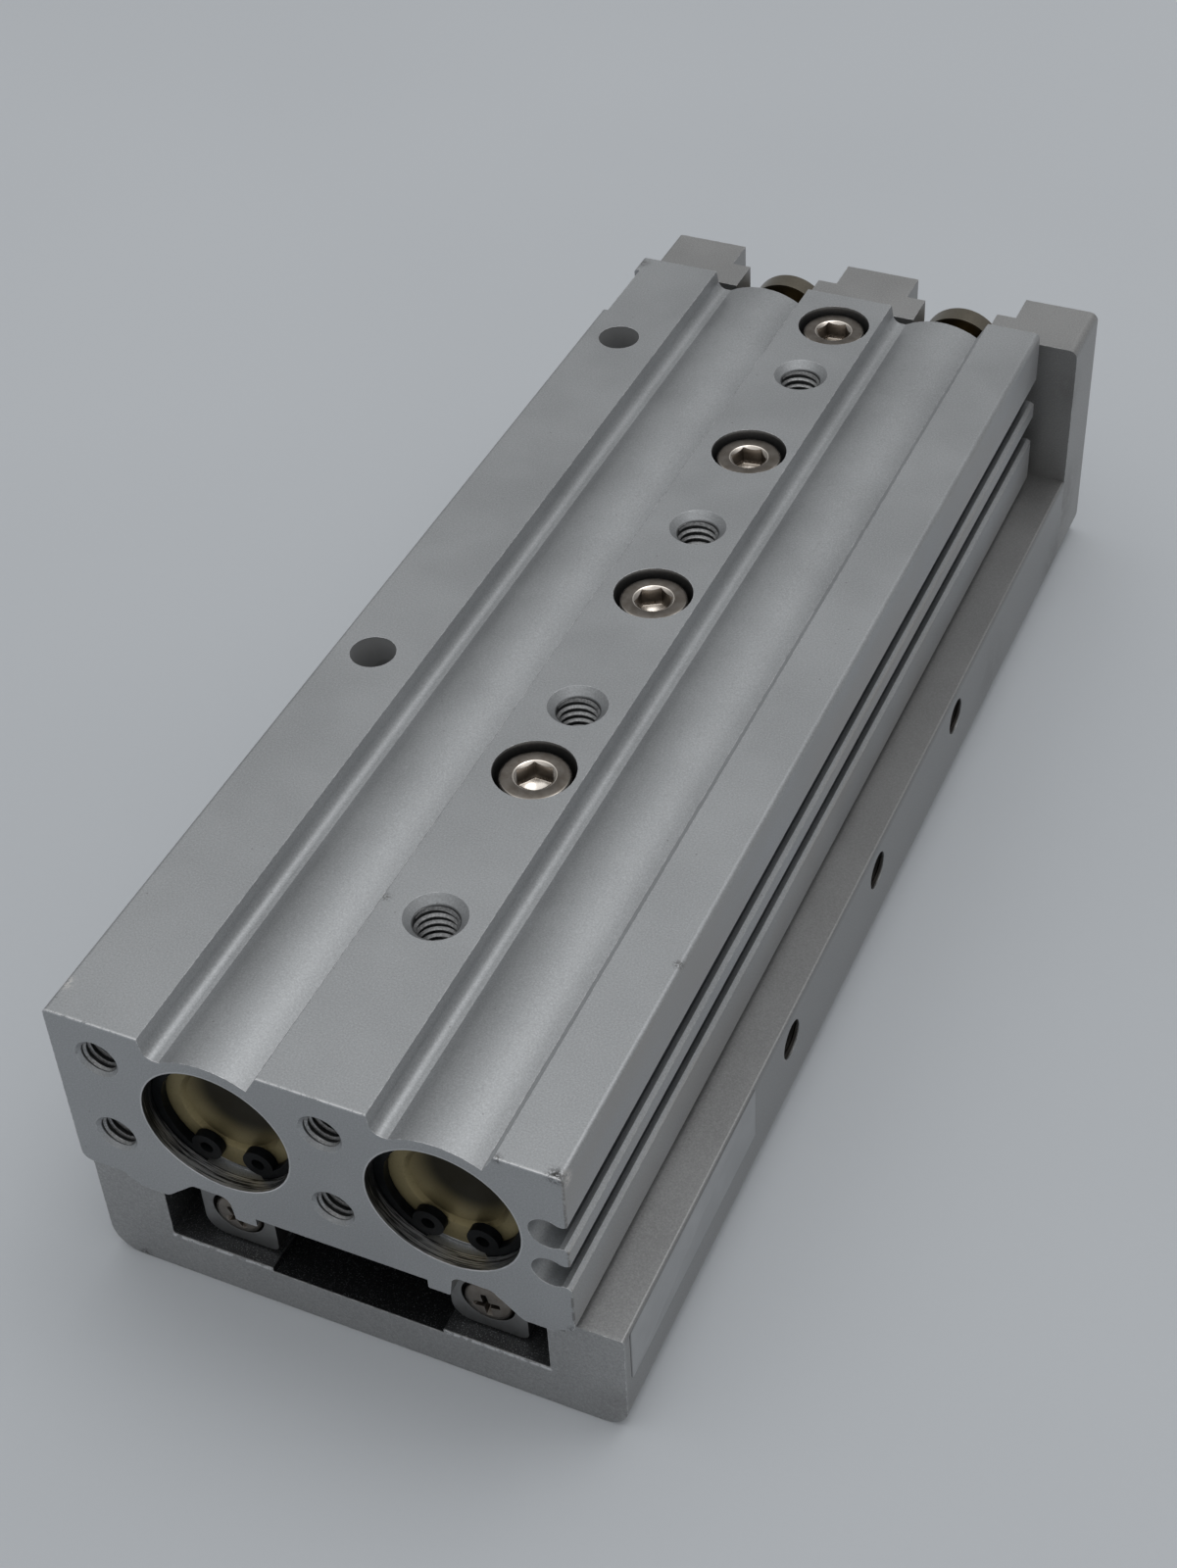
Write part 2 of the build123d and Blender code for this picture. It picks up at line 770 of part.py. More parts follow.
# Crossed roller guide: outer guides in the table, cages and rollers between
roller_count = int((cage_end_y - cage_y) / roller_pitch)
roller_step = (cage_end_y - cage_y) / roller_count
roller_ys = [cage_y + roller_step * (i + 0.5) for i in range(roller_count)]
for side, sign in sides.items():
    with BuildPart() as outer_guide:
        with BuildSketch(across(guide_end_y)):
            with BuildLine():
                rounded(
                    (sign * guide_x - guide_width / 2, floor_thickness, 0.5),
                    (sign * guide_x - guide_width / 2, floor_thickness + guide_height, 0.5),
                    (sign * guide_x + guide_width / 2, floor_thickness + guide_height, 0.5),
                    (sign * guide_x + guide_width / 2, floor_thickness, 0.5),
                )
            make_face()
            with Locations((sign * way_x, way_z)):
                Rectangle(roller_size, roller_size, rotation=45, mode=Mode.SUBTRACT)
        extrude(amount=guide_length)
        # tapped holes for the stop plates and for the screws through the floor
        with BuildSketch(across(guide_end_y)):
            with Locations((sign * guide_x, stop_screw_z)):
                Circle(m3_radius + fit_clearance)
        extrude(amount=stop_screw_grip, mode=Mode.SUBTRACT)
        with BuildSketch(across(guide_y)):
            with Locations((sign * guide_x, stop_screw_z)):
                Circle(m3_radius + fit_clearance)
        extrude(amount=-stop_screw_grip, mode=Mode.SUBTRACT)
        with BuildSketch(Plane.XY.offset(floor_thickness)):
            with Locations(*[(sign * guide_x, y) for y in guide_screw_ys]):
                Circle(m3_radius + fit_clearance)
        extrude(amount=guide_thread_depth, mode=Mode.SUBTRACT)
    finish(outer_guide.part, f"outer_guide_{side}")

    # moulded cage: a thin strip with spacers standing in the vee channel
    with BuildPart() as roller_cage:
        with BuildSketch(across(cage_end_y)):
            with Locations((sign * way_x, way_z)):
                Rectangle(cage_thickness, cage_height)
                Rectangle(spacer_size, spacer_size, rotation=45)
        extrude(amount=cage_end_y - cage_y)
        with Locations(*[(sign * way_x, y, way_z) for y in roller_ys]):
            Box(pocket_height, roller_size + 2 * pocket_clearance, pocket_height, mode=Mode.SUBTRACT)
    finish(roller_cage.part, f"roller_cage_{side}")

    # rollers, each one turned a quarter from the last
    with BuildPart() as rollers:
        for i, y in enumerate(roller_ys):
            lean = 45 if i % 2 == 0 else -45
            with Locations(Location((sign * way_x, y, way_z), (0, lean, 0))):
                Cylinder(roller_size / 2 - fit_clearance, roller_size - roller_end_gap)
    finish(rollers.part, f"rollers_{side}")

# Plates that close the ends of both outer guides
with BuildPart() as roller_stops:
    for end_y in (guide_y, guide_end_y + stop_plate_thickness):
        with BuildSketch(across(end_y)):
            for sign in sides.values():
                low_z = floor_thickness + stop_plate_margin
                high_z = floor_thickness + guide_height
                near_x = sign * guide_x - guide_width / 2
                far_x = sign * guide_x + guide_width / 2
                with BuildLine():
                    rounded(
                        (near_x, low_z, stop_plate_radii[0]),
                        (near_x, high_z, stop_plate_radii[1]),
                        (far_x, high_z, stop_plate_radii[1]),
                        (far_x, low_z, stop_plate_radii[1]),
                    )
                make_face()
                with Locations((sign * guide_x, stop_screw_z)):
                    Circle(m3_radius + screw_clearance, mode=Mode.SUBTRACT)
        extrude(amount=stop_plate_thickness)
    for face_y, inward in ((guide_y - stop_plate_thickness, -1), (guide_end_y + stop_plate_thickness, 1)):
        with BuildSketch(across(face_y)):
            with Locations(*[(sign * guide_x, stop_screw_z) for sign in sides.values()]):
                Circle(pan_head_radius + pan_head_gap)
        extrude(amount=inward * pan_recess, mode=Mode.SUBTRACT)
finish(roller_stops.part, "roller_stops")

# Pan head screws of the stop plates
with BuildPart() as roller_stop_screws:
    for face_y, inward in ((guide_y - stop_plate_thickness, -1), (guide_end_y + stop_plate_thickness, 1)):
        seat_y = face_y - inward * pan_recess
        with BuildSketch(across(seat_y)):
            with Locations(*[(sign * guide_x, stop_screw_z) for sign in sides.values()]):
                Circle(pan_head_radius)
        extrude(amount=-inward * pan_head_height)
        with BuildSketch(across(seat_y)):
            with Locations(*[(sign * guide_x, stop_screw_z) for sign in sides.values()]):
                Circle(m3_radius)
        extrude(amount=inward * (stop_screw_grip - thread_end_gap))
finish(roller_stop_screws.part, "roller_stop_screws")

# Table: a shallow channel with stepped walls and a relieved floor under the rail
table_centre_y = table_y + table_length / 2
with BuildPart() as slide_table:
    with BuildSketch(across(plate_y)):
        with BuildLine():
            rounded(
                (-table_width / 2, 0, corner_left),
                (-table_width / 2, wall_top_outer, 0.3),
                (-wall_step_outer, wall_top_outer, 0.5),
                (-wall_step_inner, wall_top_inner, 0.5),
                (-cavity_half, wall_top_inner, 0),
                (-cavity_half, floor_thickness, 0.3),
                (-relief_half, floor_thickness, 0),
                (-relief_half, relief_z, 0),
                (relief_half, relief_z, 0),
                (relief_half, floor_thickness, 0),
                (cavity_half, floor_thickness, 0.3),
                (cavity_half, wall_top_inner, 0),
                (wall_step_inner, wall_top_inner, 0.5),
                (wall_step_outer, wall_top_outer, 0.5),
                (table_width / 2, wall_top_outer, 0.3),
                (table_width / 2, 0, corner_right),
            )
        make_face()
    extrude(amount=table_length)
    # set screws that press the right guide against the rollers
    with BuildSketch(beside(cavity_half)):
        with Locations(*[(head_y + place, preload_height) for place in preload_places]):
            Circle(preload_radius)
    extrude(amount=table_width / 2 - cavity_half, mode=Mode.SUBTRACT)
    # tapped holes and two locating holes in the mounting face
    with BuildSketch(Plane.XY):
        with Locations((0, table_centre_y)):
            with GridLocations(2 * table_thread_half_span, table_thread_pitch, 2, table_thread_rows):
                Circle(table_thread_radius)
    extrude(amount=table_thread_depth, mode=Mode.SUBTRACT)
    with BuildSketch(Plane.XY):
        with Locations((0, table_centre_y)):
            with GridLocations(0, dowel_hole_pitch, 1, 2):
                Circle(dowel_hole_radius)
    extrude(amount=dowel_hole_depth, mode=Mode.SUBTRACT)
    # counterbored holes for the screws into the guides
    guide_screw_points = [(sign * guide_x, y) for sign in sides.values() for y in guide_screw_ys]
    with BuildSketch(Plane.XY):
        with Locations(*guide_screw_points):
            Circle(m3_recess_radius)
    extrude(amount=m3_recess_depth, mode=Mode.SUBTRACT)
    with BuildSketch(Plane.XY):
        with Locations(*guide_screw_points):
            Circle(m3_radius + screw_clearance)
    extrude(amount=floor_thickness, mode=Mode.SUBTRACT)
    # end face: tapped holes in the walls and dowel holes in the floor
    with BuildSketch(across(plate_y)):
        with Locations(*[(sign * plate_screw_offset, plate_screw_height) for sign in sides.values()]):
            Circle(m4_radius + fit_clearance)
    extrude(amount=m4_grip - (end_plate_thickness - m4_recess_depth) + m4_thread_spare, mode=Mode.SUBTRACT)
    with BuildSketch(across(plate_y)):
        with Locations(*[(sign * plate_dowel_offset, relief_z / 2) for sign in sides.values()]):
            Circle(plate_dowel_radius + fit_clearance)
    extrude(amount=plate_dowel_length / 2 + dowel_end_gap, mode=Mode.SUBTRACT)
finish(slide_table.part, "slide_table")

with BuildPart() as guide_screws:
    with BuildSketch(Plane.XY.offset(m3_recess_depth - m3_head_height)):
        with Locations(*guide_screw_points):
            Circle(m3_head_radius)
            RegularPolygon(m3_socket_flats / 2, 6, major_radius=False, mode=Mode.SUBTRACT)
    extrude(amount=m3_head_height / 2)
    with BuildSketch(Plane.XY.offset(m3_recess_depth - m3_head_height / 2)):
        with Locations(*guide_screw_points):
            Circle(m3_head_radius)
    extrude(amount=m3_head_height / 2)
    with BuildSketch(Plane.XY.offset(m3_recess_depth)):
        with Locations(*guide_screw_points):
            Circle(m3_radius)
    extrude(amount=m3_grip)
finish(guide_screws.part, "guide_screws")

with BuildPart() as preload_screws:
    preload_x = guide_x + guide_width / 2
    with BuildSketch(beside(preload_x)):
        with Locations(*[(head_y + place, preload_height) for place in preload_places]):
            Circle(preload_radius - fit_clearance)
    extrude(amount=preload_length)
    with BuildSketch(beside(preload_x + preload_length)):
        with Locations(*[(head_y + place, preload_height) for place in preload_places]):
            RegularPolygon(preload_socket_flats / 2, 6, major_radius=False)
    extrude(amount=-preload_socket_depth, mode=Mode.SUBTRACT)
finish(preload_screws.part, "preload_screws")

# End plate with two stepped notches, open at the top, that the bushes drop into
with BuildPart() as end_plate:
    with BuildSketch(across(plate_back_y)):
        with BuildLine():
            rounded(
                (-table_width / 2, 0, corner_left),
                (-table_width / 2, plate_top_z, end_plate_corner_left),
                (table_width / 2, plate_top_z, end_plate_corner_right),
                (table_width / 2, 0, corner_right),
            )
        make_face()
    extrude(amount=end_plate_thickness)
    notch_steps = (
        (end_plate_thickness - web_thickness, notch_back_half),
        (end_plate_thickness, notch_half),
    )
    for depth, half in notch_steps:
        with BuildSketch(across(plate_back_y)):
            with Locations((-notch_offset, bore_z), (notch_offset, bore_z)):
                Circle(half)
                Rectangle(2 * half, top_z - bore_z, align=(Align.CENTER, Align.MIN))
        extrude(amount=depth, mode=Mode.SUBTRACT)
    with BuildSketch(across(plate_back_y)):
        for z in plate_thread_heights:
            with Locations((-plate_thread_half_span, z), (plate_thread_half_span, z)):
                Circle(port_radius)
    extrude(amount=end_plate_thickness, mode=Mode.SUBTRACT)
    with BuildSketch(across(plate_back_y)):
        with Locations(*[(sign * plate_screw_offset, plate_screw_height) for sign in sides.values()]):
            Circle(m4_radius + screw_clearance)
        with Locations(*[(sign * plate_dowel_offset, relief_z / 2) for sign in sides.values()]):
            Circle(plate_dowel_radius + fit_clearance)
    extrude(amount=end_plate_thickness, mode=Mode.SUBTRACT)
    with BuildSketch(across(plate_back_y)):
        with Locations(*[(sign * plate_screw_offset, plate_screw_height) for sign in sides.values()]):
            Circle(m4_recess_radius)
    extrude(amount=m4_recess_depth, mode=Mode.SUBTRACT)
finish(end_plate.part, "end_plate")

with BuildPart() as end_plate_screws:
    seat_y = plate_back_y - m4_recess_depth
    plate_screw_points = [(sign * plate_screw_offset, plate_screw_height) for sign in sides.values()]
    with BuildSketch(across(seat_y)):
        with Locations(*plate_screw_points):
            Circle(m4_head_radius)
    extrude(amount=-m4_head_height)
    with BuildSketch(across(seat_y)):
        with Locations(*plate_screw_points):
            Circle(m4_radius)
    extrude(amount=m4_grip)
    with BuildSketch(across(seat_y + m4_head_height)):
        with Locations(*plate_screw_points):
            RegularPolygon(m4_socket_flats / 2, 6, major_radius=False)
    extrude(amount=m4_head_height / 2, mode=Mode.SUBTRACT)
finish(end_plate_screws.part, "end_plate_screws")

with BuildPart() as end_plate_dowels:
    with BuildSketch(across(plate_y + plate_dowel_length / 2)):
        with Locations(*[(sign * plate_dowel_offset, relief_z / 2) for sign in sides.values()]):
            Circle(plate_dowel_radius)
    extrude(amount=plate_dowel_length)
finish(end_plate_dowels.part, "end_plate_dowels")
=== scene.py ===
"""Looks of a compact air-driven slide table, lying on its table face.

Everything is in metres in the frame of the solids: X across the unit, Y along the
stroke towards the end plate, Z up from the table's mounting face. Sizes in the
sections below are in millimetres until they reach a mesh.
"""
import math

import bmesh
import bpy
from mathutils import Matrix, Vector


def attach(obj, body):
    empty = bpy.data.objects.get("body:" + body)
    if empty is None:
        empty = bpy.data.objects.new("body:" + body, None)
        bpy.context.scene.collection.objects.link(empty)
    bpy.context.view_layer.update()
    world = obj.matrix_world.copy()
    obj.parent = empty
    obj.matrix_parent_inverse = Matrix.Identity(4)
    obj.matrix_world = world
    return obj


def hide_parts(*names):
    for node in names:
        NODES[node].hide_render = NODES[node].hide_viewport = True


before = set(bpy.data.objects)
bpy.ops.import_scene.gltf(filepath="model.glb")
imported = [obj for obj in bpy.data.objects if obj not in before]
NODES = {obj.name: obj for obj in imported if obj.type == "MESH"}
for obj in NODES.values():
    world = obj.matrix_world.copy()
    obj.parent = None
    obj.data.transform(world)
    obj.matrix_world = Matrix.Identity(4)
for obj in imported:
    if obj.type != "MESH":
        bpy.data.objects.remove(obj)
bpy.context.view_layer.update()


# The housing: an extruded aluminium block, anodised with a satin skin, in which two bores,
# tapped ports, counterbores and switch slots are machined. Its edges are nicked and bright,
# partly worn and partly a painted highlight. Its turned bore mouths are painted dark as shade,
# with bright streaks painted stronger towards their bottom, where light falls, and a painted
# highlight on their rims. Its holes and switch slots are painted dark as shade.
MM = 0.001
FACE_Y = -83.0                                # near face
LAND_Z = 40.0                                 # top of the three lands
SIDE_X = 26.4                                 # right wall
BORE_X, BORE_Z, MOUTH_RADIUS = 12.8, 28.8, 8.56
SLOT_Z = (30.9, 24.85)                        # two switch slots in the right wall
PORT_X, PORT_Z = (-25.6, 0.0), (34.6, 22.9)   # four tapped ports in the near face
TAPPED_Y = (-56.8, -21.3, 14.2, 49.7)         # tapped holes of the middle land
COUNTERBORE_Y = (-32.8, 0.4, 31.2, 62.4)      # counterbores of the middle land
THROUGH_X, THROUGH_Y = -26.0, (-21.3, 49.7)   # plain through holes of the left land


class Field:
    """A shader value that takes part in sums like a number."""

    def __init__(self, graph, socket):
        self.graph = graph
        self.socket = socket

    def maths(self, operation, *others, first=None):
        values = (self, *others) if first is None else (first, self)
        return self.graph.node("ShaderNodeMath", dict(enumerate(values)), operation=operation)

    def __add__(self, other):
        return self.maths("ADD", other)

    def __sub__(self, other):
        return self.maths("SUBTRACT", other)

    def __rsub__(self, other):
        return self.maths("SUBTRACT", first=other)

    def __mul__(self, other):
        return self.maths("MULTIPLY", other)

    __radd__ = __add__
    __rmul__ = __mul__

    def ramp(self, low, high, start=0.0, end=1.0):
        """Runs from start to end as the value goes from low to high, and stops there."""
        values = dict(enumerate((self, low, high, start, end)))
        return self.graph.node("ShaderNodeMapRange", values, interpolation_type="SMOOTHSTEP")

    def near(self, target, reach):
        """1 at the target value, falling to 0 at reach away from it."""
        return (self - target).maths("ABSOLUTE").ramp(reach, 0.0)


def length(a, b):
    """Length of the two sides' diagonal."""
    return (a * a + b * b).maths("SQRT")


def nearest(value, places):
    """Distance from the value to the nearest of several places."""
    gaps = [(value - place).maths("ABSOLUTE") for place in places]
    while len(gaps) > 1:
        gaps.append(gaps.pop(0).maths("MINIMUM", gaps.pop(0)))
    return gaps[0]


class Graph:
    """A tree of shader nodes, with the one method that makes and wires them."""

    def __init__(self, tree):
        self.tree = tree
        tree.nodes.clear()

    def node(self, kind, inputs=None, output=0, **settings):
        """Makes a node and gives back one output, or None for output None."""
        made = self.tree.nodes.new(kind)
        for name, value in settings.items():
            setattr(made, name, value)
        for key, value in (inputs or {}).items():
            if isinstance(value, Field):
                self.tree.links.new(value.socket, made.inputs[key])
            else:
                made.inputs[key].default_value = value
        return None if output is None else Field(self, made.outputs[output])

    def split(self, vector):
        """The three parts of a vector."""
        first = self.node("ShaderNodeSeparateXYZ", {0: vector})
        return [Field(self, part) for part in first.socket.node.outputs]


class Surface(Graph):
    """One material, made of nodes that read the object's own coordinates."""

    def __init__(self, name):
        self.material = bpy.data.materials.new(name)
        self.material.use_nodes = True
        super().__init__(self.material.node_tree)
        self.place = self.node("ShaderNodeTexCoord", output="Object")
        self.x, self.y, self.z = (part * 1000.0 for part in self.split(self.place))

    def noise(self, size, detail=2.0, rough=0.5, stretch=(1.0, 1.0, 1.0)):
        """Cloudy noise from 0 to 1 with features of about size millimetres."""
        steps = tuple(1000.0 / size / s for s in stretch)
        scaled = self.node("ShaderNodeVectorMath", {0: self.place, 1: steps}, operation="MULTIPLY")
        inputs = {"Vector": scaled, "Scale": 1.0, "Detail": detail, "Roughness": rough}
        return self.node("ShaderNodeTexNoise", inputs)

    def specks(self, size, share):
        """1 in scattered small spots, 0 elsewhere."""
        inputs = {"Vector": self.place, "Scale": 1000.0 / size}
        return self.node("ShaderNodeTexVoronoi", inputs).ramp(share, share * 0.5)

    def spot(self, point, reach):
        """1 at a point, falling to 0 at reach away from it."""
        inputs = {0: self.place, 1: tuple(c * MM for c in point)}
        away = self.node("ShaderNodeVectorMath", inputs, "Value", operation="DISTANCE")
        return away.ramp(reach * MM, 0.0)

    def soft_edges(self, radius):
        """Normal that rounds sharp edges by radius millimetres."""
        return self.node("ShaderNodeBevel", {"Radius": radius * MM}, samples=6)

    def edges(self, radius):
        """0 on open ground, rising to 1 on corners and edges within radius millimetres."""
        flat = self.node("ShaderNodeNewGeometry", output="Normal")
        inputs = {0: self.soft_edges(radius), 1: flat}
        match = self.node("ShaderNodeVectorMath", inputs, "Value", operation="DOT_PRODUCT")
        return match.ramp(0.99, 0.8)

    def aside(self):
        """Distance to the right of the nearer bore axis."""
        return self.x - self.x.maths("SIGN") * BORE_X

    def bore_distance(self):
        """Distance from the nearer of the two bore axes."""
        return length(self.aside(), self.z - BORE_Z)

    def mix(self, factor, low, high):
        """Blends two colours."""
        inputs = {0: factor, 6: low, 7: high}
        return self.node("ShaderNodeMix", inputs, 2, data_type="RGBA", clamp_factor=True)

    def bump(self, height, depth, strength=1.0, under=None):
        """Bump normal from a height from 0 to 1 that stands for depth millimetres."""
        inputs = {"Height": height, "Distance": depth * MM, "Strength": strength}
        if under is not None:
            inputs["Normal"] = under
        return self.node("ShaderNodeBump", inputs)

    def close(self, color, roughness, metallic, normal, **constants):
        """Ends the material in one principled shader."""
        inputs = {"Base Color": color, "Roughness": roughness, "Metallic": metallic}
        inputs.update(constants, Normal=normal)
        shader = self.node("ShaderNodeBsdfPrincipled", inputs)
        self.node("ShaderNodeOutputMaterial", {"Surface": shader}, None)
        return self.material


def grey(value, warmth=0.0):
    """Opaque grey with a slight warm or cool cast."""
    return (value * (1 + warmth), value, value * (1 - warmth), 1.0)


def dress(material, *names):
    """Gives solids of the frame their material."""
    for name in names:
        slots = NODES[name].data.materials
        for i in range(len(slots)):
            slots[i] = material


def skin(s, tone, warmth, sparkle, marks):
    """Colour, roughness and normal of the anodised skin that three pieces share.

    It is clouded, finely blasted, dusty and lined along the extrusion, and its edges are
    bright, partly worn bare and partly a painted highlight. Each mark is a point, its reach,
    its grey and its strength.
    """
    cloud = s.noise(16.0, 4.0, 0.6)
    grain = s.noise(0.2, 2.0, 0.7)
    lines = s.noise(0.4, 2.0, 0.6, stretch=(1.0, 200.0, 1.0))
    color = s.mix(cloud.ramp(0.3, 0.7), grey(tone * 0.95, warmth), grey(tone * 1.05, warmth))
    color = s.mix(grain.ramp(0.5, 0.68) * sparkle, color, grey(tone * 1.5, warmth))
    color = s.mix(grain.ramp(0.5, 0.32) * sparkle, color, grey(tone * 0.6, warmth))
    color = s.mix(s.specks(3.2, 0.05) * 0.5, color, grey(tone * 0.45, 0.03))
    # Bright edges: partly worn burrs, partly a painted highlight.
    burr_and_highlight = s.edges(0.2) * s.noise(0.9, 3.0, 0.7).ramp(0.46, 0.6)
    color = s.mix(burr_and_highlight * 0.8, color, grey(min(tone * 2.1, 0.92)))
    for point, reach, value, strength in marks:
        ragged = 0.07 if reach < 2.0 else 0.25
        torn = s.noise(reach * 0.25, 3.0, 0.7).ramp(0.5 - ragged, 0.5 + ragged * 0.3)
        color = s.mix(s.spot(point, reach) * torn * strength, color, grey(value, 0.06))
    roughness = cloud.ramp(0.3, 0.7, 0.40, 0.47) + grain * 0.06
    normal = s.bump(grain, 0.02, 0.35, under=s.soft_edges(0.07))
    return color, roughness, s.bump(lines, 0.01, 0.25, under=normal)


s = Surface("housing_skin")
nicks = (
    ((25.5, -82.7, LAND_Z), 1.5, 0.03, 0.95),
    ((26.4, -82.0, 39.0), 1.3, 0.90, 0.9),
    ((19.5, -82.9, 39.9), 0.9, 0.06, 0.8),
    ((26.3, FACE_Y, 16.2), 1.2, 0.08, 0.8),
    ((25.8, -53.8, LAND_Z), 0.9, 0.08, 0.8),
    ((-6.1, -56.2, 39.8), 1.0, 0.10, 0.7),
    ((-30.5, 68.4, LAND_Z), 1.6, 0.10, 0.6),
    ((-30.6, -79.0, 39.8), 1.4, 0.85, 0.5),
    ((8.0, -12.0, LAND_Z), 1.1, 0.15, 0.5),
)
color, roughness, normal = skin(s, 0.42, -0.018, 0.32, nicks)
cloud_bands = s.noise(12.0, 3.0, 0.6, stretch=(1.0, 3.0, 1.0))

bore = s.bore_distance()
# Bore mouths: lathe streaks on a base painted dark as shade, the streaks painted brighter towards
# the bottom, where light falls.
mouth = bore.ramp(MOUTH_RADIUS + 0.06, MOUTH_RADIUS - 0.02) * s.y.ramp(-77.0, -78.0)
rings = s.noise(0.16, 3.0, 0.7, stretch=(30.0, 1.0, 30.0))
turned_streaks_and_light = rings.ramp(0.5, 0.7) * 0.4 + s.z.ramp(27.5, 21.0) * rings.ramp(0.4, 0.58)
color = s.mix(mouth * 0.92, color, s.mix(turned_streaks_and_light, grey(0.03), grey(0.85, 0.01)))
# A painted highlight round each bore's rim on the near face.
rim_highlight = bore.near(MOUTH_RADIUS, 0.17) * s.y.near(FACE_Y, 0.3)
color = s.mix(rim_highlight * 0.55, color, grey(0.85))

# Along the near face's top edge: a bright ragged line, partly burrs and partly a painted highlight.
front_edge_burr_highlight = s.y.near(FACE_Y, 0.32) * s.z.near(LAND_Z, 0.32)
color = s.mix(front_edge_burr_highlight * s.noise(0.8, 3.0, 0.8).ramp(0.38, 0.5) * 0.65, color, grey(0.9))
corner = length(s.x - SIDE_X, s.y - FACE_Y).ramp(0.3, 0.1)
color = s.mix(corner * s.noise(1.2, 3.0, 0.8).ramp(0.42, 0.52) * 0.7, color, grey(0.10, 0.05))

# Painted shade inside the switch slots, growing deeper in from the near face.
slots = nearest(s.z, SLOT_Z).ramp(2.3, 2.1) * s.x.ramp(26.1, 25.5) * s.x.ramp(19.0, 19.4)
color = s.mix(slots * s.y.ramp(-82.9, -78.0) * 0.55, color, grey(0.12, -0.08))
# Painted shade in the ports, tapped holes and counterbores.
ports = length(nearest(s.x, PORT_X), nearest(s.z, PORT_Z)).ramp(2.3, 2.15)
ports = ports * s.y.ramp(-82.6, -82.3)
tapped = length(s.x, nearest(s.y, TAPPED_Y)).ramp(2.7, 2.55)
wells = length(s.x, nearest(s.y, COUNTERBORE_Y)).ramp(4.9, 4.8) * s.z.ramp(39.9, 39.5)
hole_shade = ports.maths("MAXIMUM", tapped).maths("MAXIMUM", wells)
color = s.mix(hole_shade * 0.78, color, grey(0.045))

warm_side = s.x.ramp(26.1, 26.35) * cloud_bands.ramp(0.3, 0.7)
color = s.mix(warm_side * 0.6, color, grey(0.38, 0.06))
plain = length(s.x - THROUGH_X, nearest(s.y, THROUGH_Y)).ramp(2.85, 2.75)
plain = plain * s.z.ramp(39.95, 39.7)
color = s.mix(plain * 0.8, color, grey(0.34))
dress(s.close(color, roughness - mouth * 0.12, 0.92 - plain * 0.7, normal), "cylinder_body")


# The table: a U-shaped aluminium block, milled and anodised a little warmer, bolted to the
# guide blocks from below. Its cavity is painted dark as shade, darkest on the sunk floor, and
# flecked with sparkling grit. A bright burr runs along the floor's front edge, with a painted
# highlight on it. Its set screw holes and the ledge by the housing are painted dark as shade,
# and its corners are smudged brown.
TABLE_FACE_Y = -81.7                          # near face
TABLE_SIDE_X = 31.0                           # right wall
CAVITY_HALF, CAVITY_FLOOR_Z = 22.6, 7.0
RELIEF_Z = 5.8                                # sunk floor under the rail
SET_SCREW_Y, SET_SCREW_Z = (-34.7, -5.6, 24.6), 10.8

s = Surface("table_skin")
smudges = (
    ((30.5, TABLE_FACE_Y, 3.5), 5.0, 0.16, 0.3),
    ((-27.1, TABLE_FACE_Y, 0.3), 1.2, 0.06, 0.7),
    ((TABLE_SIDE_X, 40.0, 6.0), 9.0, 0.20, 0.35),
    ((TABLE_SIDE_X, 70.0, 3.0), 8.0, 0.14, 0.45),
)
color, roughness, normal = skin(s, 0.39, 0.0, 0.4, smudges)

half_way = s.x.maths("ABSOLUTE")
inside = s.y.ramp(-81.66, -81.5) * half_way.ramp(CAVITY_HALF + 0.1, CAVITY_HALF - 0.05)
inside = inside * s.z.ramp(3.0, 4.0)
relief = inside * s.z.ramp(CAVITY_FLOOR_Z, 6.4) * s.z.ramp(6.0, 5.7)
# The cavity is painted dark as shade, the sunk floor under the rail darker still, both flecked with
# sparkling grit.
grit = s.noise(0.17, 2.0, 0.8).ramp(0.55, 0.72)
painted_shade = s.mix(grit, grey(0.07, -0.05), grey(0.6, -0.02))
color = s.mix(inside * s.z.ramp(13.8, 13.3) * 0.85, color, painted_shade)
oil_and_shade = s.mix(grit * 0.6, grey(0.015, -0.08), grey(0.30, -0.05))
color = s.mix(relief * 0.8, color, oil_and_shade)

# Painted shade in the set screw holes of the right wall.
screws = length(nearest(s.y, SET_SCREW_Y), s.z - SET_SCREW_Z).ramp(2.55, 2.42)
screws = screws * s.x.ramp(30.95, 30.7) * s.x.ramp(22.0, 22.4)
color = s.mix(screws * 0.9, color, grey(0.045, 0.14))
# Painted shade on the ledge of the right wall, deepening away from the near end.
ledge_shade = s.x.ramp(24.2, 24.6) * s.z.ramp(14.0, 14.4) * s.y.ramp(TABLE_FACE_Y, -81.0)
color = s.mix(ledge_shade * s.y.ramp(-75.0, 10.0, 0.3, 0.55), color, grey(0.24, 0.02))
side = s.x.ramp(30.9, 30.98) * s.y.ramp(-81.6, -81.2)
color = s.mix(side * 0.35, color, grey(0.27, 0.01))
# Along the cavity floor's front edge: a bright burr, partly a painted highlight.
lip_burr_highlight = s.y.near(TABLE_FACE_Y, 0.2) * s.z.near(RELIEF_Z, 0.45) * half_way.ramp(22.8, 22.4)
color = s.mix(lip_burr_highlight * s.noise(0.7, 3.0, 0.7).ramp(0.4, 0.55) * 0.8, color, grey(0.9))
dress(s.close(color, roughness, 0.92, normal), "slide_table")


# The end plate: an aluminium bar, milled all over and anodised a touch darker, that two
# screws and two dowels hold to the table's end. It is browned at its lower corner.
PLATE_FACE_Y = 72.8                           # face towards the housing

s = Surface("plate_skin")
